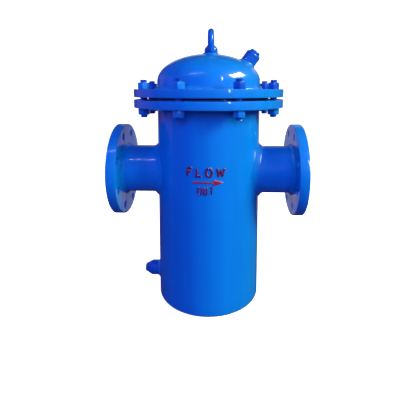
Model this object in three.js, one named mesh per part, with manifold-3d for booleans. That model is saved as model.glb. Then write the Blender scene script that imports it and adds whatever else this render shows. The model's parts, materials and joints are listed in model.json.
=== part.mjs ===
// Straight-through basket strainer with a bolted, domed cover.
// Millimetres. The origin is the centre of the flat bottom, +Z is up,
// the inlet points to -X and the outlet to +X.
import * as THREE from 'three';
import { mergeVertices } from 'three/addons/utils/BufferGeometryUtils.js';
import Module from 'manifold-3d';

const wasm = await Module();
wasm.setup();

// ---- Driving dimensions ----
const GAP = 0.3;                 // clearance between welded or fitted neighbours
const ROUND = 40;                // facets round a large cylinder

const SHELL_R = 122.5;
const SHELL_WALL = 8;
const SHELL_CORNER = 7;          // radius of the shell's bottom edge
const SHELL_TOP = 478;
const BOTTOM_THICKNESS = 12;

const NOZZLE_Z = 312;
const NOZZLE_R = 57;
const NOZZLE_WALL = 6;
const FACE_X = 225;              // half of the face-to-face length
const PIPE_END_INSET = 5;        // the pipe stops short of the flange face

const PIPE_FLANGE = { r: 110, thickness: 22, raisedR: 79, raised: 2, circleR: 90, holeR: 9 };
const COVER_JOINT = { r: 177, thickness: 18, raisedR: 143, raised: 2, circleR: 157.5, holeR: 9 };
const BOLT_COUNT = 8;
const PIPE_BOLT_PHASE = 22.5;    // degrees: the holes straddle the centre line
const COVER_BOLT_PHASE = 25.3;

const BODY_FLANGE_Z = 465;       // underside of the body flange
const GASKET_THICKNESS = 2;
const GASKET_BORE_R = 124;
const COVER_FLANGE_TOP = BODY_FLANGE_Z + 2 * COVER_JOINT.thickness
  + 2 * COVER_JOINT.raised + GASKET_THICKNESS;

const DOME_STRAIGHT_TOP = 525;
const DOME_RISE = 65;
const DOME_SKIRT_Z = 492;

const STUD_R = 8;
const STUD_STICK_OUT = 6;
const NUT = { flats: 24, height: 14.8, boreR: STUD_R + GAP };

const EYE = { x: 6, baseZ: 592.5, topZ: 650, ringR: 24.5, barR: 7.2, collarR: 16, neckR: 9 };
const EYE_SHANK_END = 562;
const EYE_NUT_TOP = 580.5;
const PAD_R = 18.5;

const PLUG_SHANK_R = 10.5;
const SOCKET = { r: 18, length: 28.5, boreR: PLUG_SHANK_R + GAP };
const WASHER = { r: 13.6, thickness: 1.5 };
const PLUG = { flats: 22, shankEnd: 14 };
const DRAIN = { z: 52, shoulder: 21, tipR: 14.2, headHeight: 7.4, crownR: 8.5 };
const VENT = { x: 91.6, z: 567.5, tilt: 36, shoulder: 26, tipR: 15.6, headHeight: 4.6, crownR: 10.8 };

const SEAT_TILT = 30;            // degrees: the seat is low at the inlet and high at the outlet
const SEAT_THICKNESS = 6;
const RIM_THICKNESS = 5;
const RIM_R = 106;
const SCREEN_R = 92;
const SCREEN_WALL = 2;
const BASKET_BASE_Z = 28;
const BASKET_BASE_THICKNESS = 5;
const EAR = { y: 102, width: 20, thickness: 3, top: 344, holeR: 4.8 };
const BAIL = { pivotZ: 332.6, halfWidth: 95.5, reach: 106, barR: 4, drop: 32.5, pinEnd: 107 };

const ARROW = { z: 309, tailX: -30, tipX: 38, barbX: 17, barbRise: 7, beadR: 2.2, headRise: 2.6 };

// ---- Materials ----
const enamel = () => new THREE.MeshStandardMaterial({ color: 0x0b4fc8, roughness: 0.22, metalness: 0.1 });
const stainless = () => new THREE.MeshStandardMaterial({ color: 0xb4b8bb, roughness: 0.38, metalness: 0.9 });
const fibre = () => new THREE.MeshStandardMaterial({ color: 0x16181b, roughness: 0.85, metalness: 0 });
const redPaint = () => new THREE.MeshStandardMaterial({ color: 0x8e1f38, roughness: 0.4, metalness: 0 });

// ---- Geometry helpers ----
const radians = THREE.MathUtils.degToRad;

/** Solid of revolution about +Z from [radius, height] pairs, anticlockwise. */
function lathe(profile, segments = ROUND) {
  const points = profile.map(([r, z]) => new THREE.Vector2(r, z));
  return new THREE.LatheGeometry(points, segments).rotateX(Math.PI / 2);
}

function ring(innerR, outerR, bottom, top, segments = ROUND) {
  const section = [[innerR, bottom], [outerR, bottom], [outerR, top], [innerR, top], [innerR, bottom]];
  return lathe(section, segments);
}

function rod(r, bottom, top, segments = ROUND) {
  return lathe([[0, bottom], [r, bottom], [r, top], [0, top]], segments);
}

/** Points of an elliptical arc in the profile plane, from one angle to another in degrees. */
function arc(centre, a, b, from, to, steps) {
  return Array.from({ length: steps + 1 }, (_, i) => {
    const angle = radians(from + (to - from) * i / steps);
    return [centre[0] + a * Math.cos(angle), centre[1] + b * Math.sin(angle)];
  });
}

/** Tube of round bar along a curve. */
function bar(curve, r, steps) {
  const section = new THREE.Shape();
  section.absarc(0, 0, r, 0, 2 * Math.PI);
  return new THREE.ExtrudeGeometry(section, {
    extrudePath: curve, steps, curveSegments: 4, bevelEnabled: false,
  });
}

/** Turn a closed geometry into a solid for joining and cutting. */
function solid(geometry) {
  const bare = geometry.clone();
  bare.deleteAttribute('normal');
  bare.deleteAttribute('uv');
  const merged = mergeVertices(bare, 1e-4);
  const index = merged.index.array;
  const triangles = [];
  for (let i = 0; i < index.length; i += 3) {
    const [a, b, c] = index.slice(i, i + 3);
    if (a !== b && b !== c && c !== a) triangles.push(a, b, c);
  }
  return new wasm.Manifold(new wasm.Mesh({
    numProp: 3,
    vertProperties: new Float32Array(merged.attributes.position.array),
    triVerts: new Uint32Array(triangles),
  }));
}

function geometryOf(result) {
  const mesh = result.getMesh();
  const geometry = new THREE.BufferGeometry();
  geometry.setAttribute('position', new THREE.BufferAttribute(mesh.vertProperties, 3));
  geometry.setIndex(new THREE.BufferAttribute(mesh.triVerts, 1));
  geometry.computeVertexNormals();
  return geometry;
}

/** Named sub-part from a geometry or from a joined or cut solid. */
function part(name, shape, material) {
  const geometry = shape.isBufferGeometry ? shape : geometryOf(shape);
  const mesh = new THREE.Mesh(geometry, material);
  mesh.name = name;
  return mesh;
}

/** Centres of equally spaced holes on a circle about +Z. */
function boltCircle(circleR, phase) {
  return Array.from({ length: BOLT_COUNT }, (_, i) => {
    const angle = radians(phase + i * 360 / BOLT_COUNT);
    return [circleR * Math.cos(angle), circleR * Math.sin(angle)];
  });
}

/** Flat ring flange from z = 0, with its raised sealing face on top. */
function flange(size, boreR, phase) {
  const top = size.thickness + size.raised;
  let blank = solid(lathe([
    [boreR, 0], [size.r, 0], [size.r, size.thickness],
    [size.raisedR, size.thickness], [size.raisedR, top], [boreR, top], [boreR, 0],
  ]));
  for (const [x, y] of boltCircle(size.circleR, phase)) {
    blank = blank.subtract(solid(rod(size.holeR, -1, size.thickness + 1, 12).translate(x, y, 0)));
  }
  return geometryOf(blank);
}

/** Hexagon nut standing on z = 0, its corners trimmed by a cone at both ends. */
function nut() {
  const cornerR = NUT.flats / Math.sqrt(3);
  const trimR = NUT.flats / 2 * 0.96;
  const drop = (cornerR - trimR) * 0.55;
  const trim = lathe([
    [0, 0], [trimR, 0], [cornerR + 0.1, drop],
    [cornerR + 0.1, NUT.height - drop], [trimR, NUT.height], [0, NUT.height],
  ], 12);
  const blank = solid(rod(cornerR, 0, NUT.height, 6)).intersect(solid(trim));
  return geometryOf(blank.subtract(solid(rod(NUT.boreR, -1, NUT.height + 1, 12))));
}

// ---- Welded vessel ----
const strainer = new THREE.Group();
const vesselCore = solid(rod(SHELL_R + GAP, -10, SHELL_TOP + 20));

function vesselShell() {
  const innerR = SHELL_R - SHELL_WALL;
  let shell = solid(lathe([
    [innerR, 0],
    ...arc([SHELL_R - SHELL_CORNER, SHELL_CORNER], SHELL_CORNER, SHELL_CORNER, -90, 0, 3),
    [SHELL_R, SHELL_TOP], [innerR, SHELL_TOP], [innerR, 0],
  ]));
  const portR = NOZZLE_R - NOZZLE_WALL;
  const port = rod(portR, -SHELL_R - 20, SHELL_R + 20, 32).rotateY(Math.PI / 2).translate(0, 0, NOZZLE_Z);
  const drainPort = rod(SOCKET.boreR, 0, SHELL_R + 20, 24).rotateY(-Math.PI / 2).translate(0, 0, DRAIN.z);
  shell = shell.subtract(solid(port)).subtract(solid(drainPort));
  return part('vessel_shell', shell, enamel());
}

function nozzle(name, side) {
  const pipe = ring(NOZZLE_R - NOZZLE_WALL, NOZZLE_R, 60, FACE_X - PIPE_END_INSET, 32);
  const placed = pipe.rotateY(side * Math.PI / 2).translate(0, 0, NOZZLE_Z);
  return part(name, solid(placed).subtract(vesselCore), enamel());
}

function pipeFlange(name, side) {
  const mesh = part(name, flange(PIPE_FLANGE, NOZZLE_R + GAP, PIPE_BOLT_PHASE), enamel());
  const backX = FACE_X - PIPE_FLANGE.thickness - PIPE_FLANGE.raised;
  mesh.position.set(side * backX, 0, NOZZLE_Z);
  mesh.rotation.y = side * Math.PI / 2;
  return mesh;
}

function flowArrow() {
  const onShell = (x, z) => {
    const angle = x / SHELL_R;
    return new THREE.Vector3(SHELL_R * Math.sin(angle), -SHELL_R * Math.cos(angle), z);
  };
  const { z, tailX, tipX, barbX, barbRise, beadR, headRise } = ARROW;
  const points = Array.from({ length: 6 }, (_, i) => onShell(tailX + (barbX + 2 - tailX) * i / 5, z));
  const shaft = solid(bar(new THREE.CatmullRomCurve3(points), beadR, 6));
  const outline = new THREE.Shape([[barbX, -barbRise], [tipX, 0], [barbX, barbRise]]
    .map(([x, rise]) => new THREE.Vector2(x, rise)));
  const wedge = new THREE.ExtrudeGeometry(outline, { depth: 60, bevelEnabled: false });
  const layer = ring(SHELL_R - 2, SHELL_R + headRise, z - 20, z + 20, 96);
  const head = solid(wedge.rotateX(Math.PI / 2).translate(0, -90, z)).intersect(solid(layer));
  return part('flow_arrow', shaft.add(head).subtract(vesselCore), redPaint());
}

strainer.add(
  vesselShell(),
  part('bottom_plate', rod(SHELL_R - SHELL_WALL - GAP, 0, BOTTOM_THICKNESS), enamel()),
  nozzle('inlet_nozzle', -1),
  nozzle('outlet_nozzle', 1),
  pipeFlange('inlet_flange', -1),
  pipeFlange('outlet_flange', 1),
  flowArrow(),
);

const bodyFlange = part('body_flange', flange(COVER_JOINT, SHELL_R + GAP, COVER_BOLT_PHASE), enamel());
bodyFlange.position.z = BODY_FLANGE_Z;
strainer.add(bodyFlange);

const gasketZ = BODY_FLANGE_Z + COVER_JOINT.thickness + COVER_JOINT.raised;
const gasketRing = ring(GASKET_BORE_R, COVER_JOINT.raisedR, gasketZ, gasketZ + GASKET_THICKNESS);
strainer.add(part('cover_gasket', gasketRing, fibre()));

// ---- Cover ----
const coverFlange = part('cover_flange', flange(COVER_JOINT, SHELL_R + GAP, -COVER_BOLT_PHASE), enamel());
coverFlange.position.z = COVER_FLANGE_TOP;
coverFlange.rotation.x = Math.PI;
strainer.add(coverFlange);

function domeOutline(grow, steps) {
  return arc([0, DOME_STRAIGHT_TOP], SHELL_R + grow, DOME_RISE + grow, 0, 90, steps);
}

const domeCore = solid(lathe([[0, DOME_SKIRT_Z], [SHELL_R + GAP, DOME_SKIRT_Z], ...domeOutline(GAP, 8)]));

function ventPlace(geometry) {
  return geometry.rotateY(radians(VENT.tilt)).translate(VENT.x, 0, VENT.z);
}

function coverDome() {
  const innerR = SHELL_R - SHELL_WALL;
  let dome = solid(lathe([
    ...arc([0, DOME_STRAIGHT_TOP], innerR, DOME_RISE - SHELL_WALL, 90, 0, 6),
    [innerR, DOME_SKIRT_Z], [SHELL_R, DOME_SKIRT_Z],
    ...domeOutline(0, 8),
  ]));
  dome = dome.subtract(solid(ventPlace(rod(SOCKET.boreR, -40, 40, 24))));
  dome = dome.subtract(solid(rod(NUT.boreR, EYE_SHANK_END, EYE.baseZ + 10, 16).translate(EYE.x, 0, 0)));
  return part('cover_dome', dome, enamel());
}

function liftingPad() {
  const disc = solid(rod(PAD_R, EYE.baseZ - 12, EYE.baseZ - GAP, 32).translate(EYE.x, 0, 0));
  const hole = solid(rod(NUT.boreR, EYE.baseZ - 20, EYE.baseZ + 1, 16).translate(EYE.x, 0, 0));
  return part('lifting_pad', disc.subtract(domeCore).subtract(hole), enamel());
}

function eyeBolt() {
  const ringZ = EYE.topZ - EYE.ringR - EYE.barR;
  const torus = new THREE.TorusGeometry(EYE.ringR, EYE.barR, 8, 24).rotateY(Math.PI / 2);
  const below = new THREE.BoxGeometry(40, 80, 40).translate(0, 0, EYE.baseZ - 20);
  const stem = lathe([
    [0, EYE_SHANK_END], [STUD_R, EYE_SHANK_END], [STUD_R, EYE.baseZ], [EYE.collarR, EYE.baseZ],
    [EYE.collarR, EYE.baseZ + 8], [EYE.collarR - 2.5, EYE.baseZ + 14], [EYE.neckR, EYE.baseZ + 19],
    [0, EYE.baseZ + 20],
  ], 24);
  const eye = solid(torus.translate(0, 0, ringZ)).subtract(solid(below)).add(solid(stem));
  const mesh = part('lifting_eye_bolt', eye, enamel());
  mesh.position.x = EYE.x;
  return mesh;
}

const eyeNut = part('eye_bolt_nut', nut(), stainless());
eyeNut.position.set(EYE.x, 0, EYE_NUT_TOP - NUT.height);
strainer.add(coverDome(), liftingPad(), eyeBolt(), eyeNut);

// ---- Screwed fittings: a welded socket, a sealing washer and a plug ----
function fitting(prefix, place, wall, { shoulder, tipR, headHeight, crownR }) {
  const { r, length, boreR } = SOCKET;
  const tube = lathe([
    [boreR, -30], [r, -30], [r, shoulder], [tipR, length], [boreR, length], [boreR, -30],
  ], 32);
  const washerTop = length + GAP + WASHER.thickness;
  const headZ = washerTop + GAP;
  const headTop = headZ + headHeight;
  const cornerR = PLUG.flats / Math.sqrt(3);
  const crown = lathe([
    [0, headZ], [cornerR, headZ], [cornerR, headZ + 1.5], [crownR, headTop], [0, headTop],
  ], 24);
  const shank = solid(rod(PLUG_SHANK_R, PLUG.shankEnd, headZ + 1, 24));
  const plug = solid(rod(cornerR, headZ, headTop, 6)).intersect(solid(crown)).add(shank);
  const washer = ring(boreR, WASHER.r, length + GAP, washerTop, 24);
  return [
    part(`${prefix}_socket`, solid(place(tube)).subtract(wall), enamel()),
    part(`${prefix}_washer`, place(washer), enamel()),
    part(`${prefix}_plug`, place(geometryOf(plug)), enamel()),
  ];
}

const drainPlace = (geometry) => geometry.rotateY(-Math.PI / 2).translate(-SHELL_R, 0, DRAIN.z);
strainer.add(...fitting('drain', drainPlace, vesselCore, DRAIN));
strainer.add(...fitting('vent', ventPlace, domeCore, VENT));

// ---- Cover bolting ----
boltCircle(COVER_JOINT.circleR, COVER_BOLT_PHASE).forEach(([x, y], i) => {
  const reach = NUT.height + STUD_STICK_OUT;
  const bolt = rod(STUD_R, BODY_FLANGE_Z - reach, COVER_FLANGE_TOP + reach, 12);
  const stud = part(`stud_${i + 1}`, bolt, enamel());
  const lowerNut = part(`lower_nut_${i + 1}`, nut(), enamel());
  const upperNut = part(`upper_nut_${i + 1}`, nut(), enamel());
  lowerNut.position.z = BODY_FLANGE_Z - NUT.height;
  upperNut.position.z = COVER_FLANGE_TOP;
  const station = new THREE.Group();
  station.position.set(x, y, 0);
  station.add(stud, lowerNut, upperNut);
  strainer.add(station);
});

// ---- Basket and its seat ----
/** Slab of the given normal thickness, tilted like the seat, above the seat's middle by `lift`. */
function tiltedSlab(lift, thickness) {
  const slab = new THREE.BoxGeometry(400, 400, thickness).translate(0, 0, lift + thickness / 2);
  return solid(slab.rotateY(-radians(SEAT_TILT)).translate(0, 0, NOZZLE_Z));
}

/** Ring that looks round from above and is cut from the tilted slab. */
function tiltedRing(innerR, outerR, lift, thickness) {
  return tiltedSlab(lift, thickness).intersect(solid(ring(innerR, outerR, 150, 480)));
}

const rimLift = SEAT_THICKNESS / 2 + GAP;
const rimTop = rimLift + RIM_THICKNESS;

function basketScreen() {
  const bottom = BASKET_BASE_Z + BASKET_BASE_THICKNESS;
  const tube = solid(ring(SCREEN_R - SCREEN_WALL, SCREEN_R, bottom, 480));
  return part('basket_screen', tube.subtract(tiltedSlab(rimTop, 300)), stainless());
}

function basketEar(name, side) {
  const plate = new THREE.BoxGeometry(EAR.width, EAR.thickness, 60).translate(0, side * EAR.y, EAR.top - 30);
  const hole = rod(EAR.holeR, -130, 130, 16).rotateX(Math.PI / 2).translate(0, 0, BAIL.pivotZ);
  const ear = solid(plate).subtract(tiltedSlab(rimTop + GAP - 100, 100)).subtract(solid(hole));
  return part(name, ear, stainless());
}

/** U-shaped bail, drawn lying level towards -X from its pivot. */
function basketHandle() {
  const { halfWidth, reach, barR, drop, pinEnd, pivotZ } = BAIL;
  const loop = Array.from({ length: 15 }, (_, i) => {
    const angle = radians(6 + 168 * i / 14);
    return new THREE.Vector3(-reach * Math.sin(angle), halfWidth * Math.cos(angle), 0);
  });
  const pin = (side) => [
    new THREE.Vector3(0, side * pinEnd, 0),
    new THREE.Vector3(0, side * (halfWidth + 3), 0),
  ];
  const path = new THREE.CatmullRomCurve3([...pin(1), ...loop, ...pin(-1).reverse()], false, 'centripetal');
  const mesh = part('basket_handle', bar(path, barR, 36), stainless());
  mesh.position.z = pivotZ;
  mesh.rotation.y = -radians(drop);
  return mesh;
}

const seatR = SHELL_R - SHELL_WALL - GAP;
const basketBase = rod(SCREEN_R, BASKET_BASE_Z, BASKET_BASE_Z + BASKET_BASE_THICKNESS - GAP);
strainer.add(
  part('basket_seat', tiltedRing(SCREEN_R + 1.5, seatR, -SEAT_THICKNESS / 2, SEAT_THICKNESS), enamel()),
  part('basket_rim', tiltedRing(SCREEN_R + GAP, RIM_R, rimLift, RIM_THICKNESS), stainless()),
  basketScreen(),
  part('basket_base', basketBase, stainless()),
  basketEar('basket_ear_front', -1),
  basketEar('basket_ear_back', 1),
  basketHandle(),
);

export default strainer;
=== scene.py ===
"""Looks of the straight-through basket strainer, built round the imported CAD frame."""
import math
import json
import random

import bmesh
import bpy
import numpy as np
from mathutils import Matrix, Vector


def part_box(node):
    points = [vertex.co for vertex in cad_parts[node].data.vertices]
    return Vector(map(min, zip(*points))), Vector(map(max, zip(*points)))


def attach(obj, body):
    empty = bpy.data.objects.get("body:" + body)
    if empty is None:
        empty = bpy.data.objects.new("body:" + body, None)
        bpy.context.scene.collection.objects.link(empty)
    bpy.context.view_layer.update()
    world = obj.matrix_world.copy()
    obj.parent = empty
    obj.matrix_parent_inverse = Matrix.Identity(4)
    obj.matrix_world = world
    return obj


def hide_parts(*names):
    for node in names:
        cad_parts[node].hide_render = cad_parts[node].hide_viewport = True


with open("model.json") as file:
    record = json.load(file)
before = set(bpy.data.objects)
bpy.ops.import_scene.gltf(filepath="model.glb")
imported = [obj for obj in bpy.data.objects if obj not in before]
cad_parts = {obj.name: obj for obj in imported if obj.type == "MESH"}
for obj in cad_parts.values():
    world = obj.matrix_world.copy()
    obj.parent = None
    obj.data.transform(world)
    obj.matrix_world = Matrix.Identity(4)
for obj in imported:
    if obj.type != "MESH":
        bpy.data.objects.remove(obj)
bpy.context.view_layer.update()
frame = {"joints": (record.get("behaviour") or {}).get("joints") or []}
scene = bpy.context.scene

MM = 0.001
TAU = 2 * math.pi


# ---------------------------------------------------------------- sizes from the frame, in millimetres
def corners(node):
    low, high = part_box(node)
    return low / MM, high / MM


def node_centre(node):
    """Middle of a node's box, seen from above."""
    low, high = corners(node)
    return (low.x + high.x) / 2, (low.y + high.y) / 2


def joint(name):
    return next(j for j in frame["joints"] if j["name"] == name)


SHELL_HIGH = corners("vessel_shell")[1]
SHELL_R = SHELL_HIGH.x
SHELL_WALL = 8.0
SHELL_INNER_R = SHELL_R - SHELL_WALL
SHELL_TOP = SHELL_HIGH.z
NOZZLE_LOW, NOZZLE_HIGH = corners("outlet_nozzle")
NOZZLE_R = NOZZLE_HIGH.y
NOZZLE_INNER_R = NOZZLE_R - 6.0
NOZZLE_Z = (NOZZLE_LOW.z + NOZZLE_HIGH.z) / 2
PIPE_END_X = NOZZLE_HIGH.x
FLANGE_LOW, FLANGE_HIGH = corners("outlet_flange")
FLANGE_R = FLANGE_HIGH.y
BODY_FLANGE_LOW, BODY_FLANGE_HIGH = corners("body_flange")
COVER_FLANGE_TOP = corners("cover_flange")[1].z
COVER_R = BODY_FLANGE_HIGH.x
RAISED = 2.0
DOME_STRAIGHT_TOP = 525.0
DOME_TOP = corners("cover_dome")[1].z
DOME_RISE = DOME_TOP - DOME_STRAIGHT_TOP
BOLT_HOLE_R = 9.0
PIPE_CIRCLE_R = 90.0
PIPE_RAISED_R = 79.0
COVER_RAISED_R = 143.0
GASKET_INNER_R = 124.0
STUD_R = 8.0
NUT_FLATS = 24.0
NUT_BORE_R = 8.3
SOCKET_BORE_R = 10.8
FIT = 0.3


# ---------------------------------------------------------------- mesh building
def arc(cx, cy, rx, ry, start, end, steps):
    angles = np.radians(np.linspace(start, end, steps + 1))
    return [(cx + rx * math.cos(a), cy + ry * math.sin(a)) for a in angles]


def fillet(points, radius, steps=3, closed=True):
    """The outline with each corner sharper than 20 degrees rounded off."""
    out = []
    count = len(points)
    for i, here in enumerate(points):
        here = Vector(here)
        if not closed and i in (0, count - 1):
            out.append(tuple(here))
            continue
        back = Vector(points[i - 1]) - here
        ahead = Vector(points[(i + 1) % count]) - here
        turn = back.angle(ahead)
        if math.pi - turn < math.radians(20):
            out.append(tuple(here))
            continue
        reach = min(radius / math.tan(turn / 2), back.length * 0.45, ahead.length * 0.45)
        start = here + back.normalized() * reach
        end = here + ahead.normalized() * reach
        for k in range(steps + 1):
            t = k / steps
            point = start * (1 - t) ** 2 + here * 2 * t * (1 - t) + end * t * t
            out.append(tuple(point))
    return out


def make(name, points, faces, sharp=32.0):
    """Mesh object from points in millimetres, with its faces turned outwards."""
    mesh = bpy.data.meshes.new(name)
    mesh.from_pydata((np.asarray(points, float) * MM).tolist(), [], faces)
    work = bmesh.new()
    work.from_mesh(mesh)
    bmesh.ops.recalc_face_normals(work, faces=work.faces)
    work.to_mesh(mesh)
    work.free()
    mesh.shade_smooth()
    mesh.set_sharp_from_angle(angle=math.radians(sharp))
    piece = bpy.data.objects.new(name, mesh)
    scene.collection.objects.link(piece)
    return piece


def loft(rings, wrap=False):
    """Points and quads through rings of equal length. Rings of one point are poles."""
    points, starts, faces = [], [], []
    for ring in rings:
        starts.append((len(points), len(ring)))
        points.extend(ring)
    pairs = list(zip(starts, starts[1:]))
    if wrap:
        pairs.append((starts[-1], starts[0]))
    for (a, na), (b, nb) in pairs:
        n = max(na, nb)
        for i in range(n):
            j = (i + 1) % n
            if na == 1 and nb == 1:
                continue
            if na == 1:
                faces.append((a, b + j, b + i))
            elif nb == 1:
                faces.append((a + i, a + j, b))
            else:
                faces.append((a + i, a + j, b + j, b + i))
    return points, faces


def lathe(name, outline, segments=96, closed=True, shift=(0, 0)):
    """Solid of revolution about a vertical axis from (radius, height) pairs."""
    angles = np.linspace(0, TAU, segments, endpoint=False)
    rings = []
    for r, z in outline:
        if r < 1e-6:
            rings.append([(shift[0], shift[1], z)])
        else:
            rings.append([(shift[0] + r * math.cos(a), shift[1] + r * math.sin(a), z) for a in angles])
    return make(name, *loft(rings, wrap=closed))


def box_mesh(low, high):
    points = [(x, y, z) for x in (low[0], high[0]) for y in (low[1], high[1]) for z in (low[2], high[2])]
    faces = [(0, 1, 3, 2), (4, 6, 7, 5), (0, 4, 5, 1), (2, 3, 7, 6), (0, 2, 6, 4), (1, 5, 7, 3)]
    return points, faces


def aim(piece, at, axis):
    """Stand a piece drawn about +Z on `at`, along `axis`, in its mesh."""
    turn = Vector((0, 0, 1)).rotation_difference(Vector(axis)).to_matrix().to_4x4()
    turn.translation = Vector(at) * MM
    piece.data.transform(turn)
    return piece


def carve(piece, cutters, bevel=0.0):
    """Cut the cutters out of a piece, round the new edges, and bake the result in its mesh."""
    bag = bpy.data.collections.new("cutters")
    scene.collection.children.link(bag)
    for cutter in cutters:
        scene.collection.objects.unlink(cutter)
        bag.objects.link(cutter)
    cut = piece.modifiers.new("cut", "BOOLEAN")
    cut.operation = "DIFFERENCE"
    cut.solver = "EXACT"
    cut.operand_type = "COLLECTION"
    cut.collection = bag
    if bevel:
        edge = piece.modifiers.new("edge", "BEVEL")
        edge.width = bevel * MM
        edge.segments = 2
        edge.limit_method = "ANGLE"
        edge.angle_limit = math.radians(50)
    bake(piece)
    for cutter in cutters:
        bpy.data.objects.remove(cutter)
    bpy.data.collections.remove(bag)
    return piece


def bake(piece, sharp=32.0):
    """Apply a piece's modifiers."""
    bpy.context.view_layer.update()
    shaped = piece.evaluated_get(bpy.context.evaluated_depsgraph_get())
    result = bpy.data.meshes.new_from_object(shaped)
    piece.modifiers.clear()
    piece.data = result
    result.shade_smooth()
    result.set_sharp_from_angle(angle=math.radians(sharp))
    return piece


def drill(r, at, axis, length, segments=40):
    """Cutter for a round hole, centred on `at`."""
    half = length / 2
    cutter = lathe("drill", [(0, -half), (r, -half), (r, half), (0, half)], segments, closed=False)
    return aim(cutter, at, axis)


def sweep(name, path, radii, sides):
    """Round bar along a path in millimetres, with a radius for each point."""
    path = [Vector(p) for p in path]
    last = len(path) - 1
    tangents = [(path[min(i + 1, last)] - path[max(i - 1, 0)]).normalized() for i in range(last + 1)]
    normal = tangents[0].orthogonal().normalized()
    rings = []
    for i, (centre, tangent) in enumerate(zip(path, tangents)):
        if i:
            normal = tangents[i - 1].rotation_difference(tangent) @ normal
        side = tangent.cross(normal)
        rings.append([
            tuple(centre + (normal * math.cos(a) + side * math.sin(a)) * radii[i])
            for a in np.linspace(0, TAU, sides, endpoint=False)
        ])
    rings = [[tuple(path[0])], *rings, [tuple(path[-1])]]
    return make(name, *loft(rings), sharp=60.0)


# ---------------------------------------------------------------- materials
class Nodes:
    """Small helper for writing a node tree in few lines."""

    def __init__(self, name):
        self.material = bpy.data.materials.new(name)
        self.material.use_nodes = True
        self.tree = self.material.node_tree
        self.shader = self.tree.nodes["Principled BSDF"]
        self.place = self.tree.nodes.new("ShaderNodeTexCoord").outputs["Object"]

    def link(self, source, target):
        self.tree.links.new(source, target)

    def node(self, kind, inputs=None, **settings):
        made = self.tree.nodes.new(kind)
        for key, value in settings.items():
            setattr(made, key, value)
        for key, value in (inputs or {}).items():
            if isinstance(value, bpy.types.NodeSocket):
                self.link(value, made.inputs[key])
            else:
                made.inputs[key].default_value = value
        return made

    def stretched(self, scale):
        return self.node("ShaderNodeMapping", {"Vector": self.place, "Scale": scale}).outputs["Vector"]

    def noise(self, scale, detail=3.0, roughness=0.5, vector=None):
        inputs = {"Vector": vector or self.place, "Scale": scale, "Detail": detail, "Roughness": roughness}
        return self.node("ShaderNodeTexNoise", inputs).outputs["Fac"]

    def ramp(self, value, low, high, to_low=0.0, to_high=1.0):
        inputs = {"Value": value, "From Min": low, "From Max": high, "To Min": to_low, "To Max": to_high}
        return self.node("ShaderNodeMapRange", inputs).outputs["Result"]

    def mix(self, amount, first, second):
        mixer = self.node("ShaderNodeMix", data_type="RGBA")
        for key, value in ((0, amount), (6, first), (7, second)):
            if isinstance(value, bpy.types.NodeSocket):
                self.link(value, mixer.inputs[key])
            else:
                mixer.inputs[key].default_value = value
        return mixer.outputs[2]

    def mix_value(self, first, second, amount):
        """Blend of two values, `amount` of it from the second."""
        return self.node("ShaderNodeMix", {0: amount, 2: first, 3: second}).outputs[0]

    def times(self, first, second):
        return self.node("ShaderNodeMath", {0: first, 1: second}, operation="MULTIPLY").outputs[0]

    def bump(self, height, strength, distance, normal=None):
        inputs = {"Height": height, "Strength": strength, "Distance": distance}
        if normal is not None:
            inputs["Normal"] = normal
        return self.node("ShaderNodeBump", inputs).outputs["Normal"]

    def edges(self, low=0.51, high=0.56):
        """1 on convex edges, 0 elsewhere."""
        pointiness = self.node("ShaderNodeNewGeometry").outputs["Pointiness"]
        return self.ramp(pointiness, low, high)

    def set(self, **values):
        for key, value in values.items():
            self.shader.inputs[key.replace("_", " ")].default_value = value


def colour(r, g, b):
    return (r, g, b, 1.0)


def enamel_paint(name, deep, bright, peel=0.14, edge_wear_and_highlight=0.3):
    """Sprayed gloss enamel over steel: faint drift and up-and-down streaks, orange peel, and lighter convex
    edges, partly thin worn paint and partly a painted edge highlight.
    """
    n = Nodes(name)
    drift = n.ramp(n.noise(6.0, 2.0), 0.3, 0.7)
    # Faint streaks of tone, stretched long up and down.
    vertical_streaks = n.ramp(n.noise(46.0, 2.0, vector=n.stretched((1.0, 1.0, 0.05))), 0.35, 0.65)
    base = n.mix(n.mix_value(drift, vertical_streaks, 0.45), deep, bright)
    specks = n.ramp(n.noise(520.0, 2.0), 0.72, 0.80)
    base = n.mix(n.times(specks, 0.18), base, colour(0.001, 0.02, 0.16))
    # Convex edges turn lighter: partly paint worn thin, partly a painted highlight along the edges.
    worn_edge_highlight = n.times(n.edges(), n.ramp(n.noise(90.0, 4.0), 0.45, 0.65, 0.0, edge_wear_and_highlight))
    base = n.mix(worn_edge_highlight, base, colour(0.03, 0.22, 0.60))
    n.link(base, n.shader.inputs["Base Color"])
    n.link(n.ramp(n.noise(24.0, 4.0), 0.3, 0.7, 0.30, 0.38), n.shader.inputs["Roughness"])
    waves = n.bump(n.noise(14.0, 1.0), 0.12, 0.003)
    skin = n.bump(n.noise(190.0, 2.0), peel, 0.0005, waves)
    n.link(skin, n.shader.inputs["Normal"])
    n.set(Coat_Weight=0.85, Coat_Roughness=0.02, Coat_IOR=1.5, IOR=1.45, Specular_IOR_Level=0.15)
    return n.material


def steel_wire_drawn(name, base, stretch, rough=(0.24, 0.42)):
    """Stainless steel with fine drawing marks."""
    n = Nodes(name)
    marks = n.noise(60.0, 6.0, 0.6, n.stretched(stretch))
    stains = n.ramp(n.noise(14.0, 5.0), 0.45, 0.75)
    tone = n.mix(n.ramp(marks, 0.3, 0.7), [c * 0.78 for c in base[:3]] + [1.0], base)
    tone = n.mix(n.times(stains, 0.35), tone, colour(0.30, 0.27, 0.23))
    tone = n.mix(n.times(n.edges(), 0.5), tone, colour(0.85, 0.86, 0.87))
    n.link(tone, n.shader.inputs["Base Color"])
    n.link(n.ramp(marks, 0.3, 0.7, *rough), n.shader.inputs["Roughness"])
    n.link(n.bump(marks, 0.25, 0.0003), n.shader.inputs["Normal"])
    n.set(Metallic=0.55, Specular_IOR_Level=0.7)
    return n.material


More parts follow.
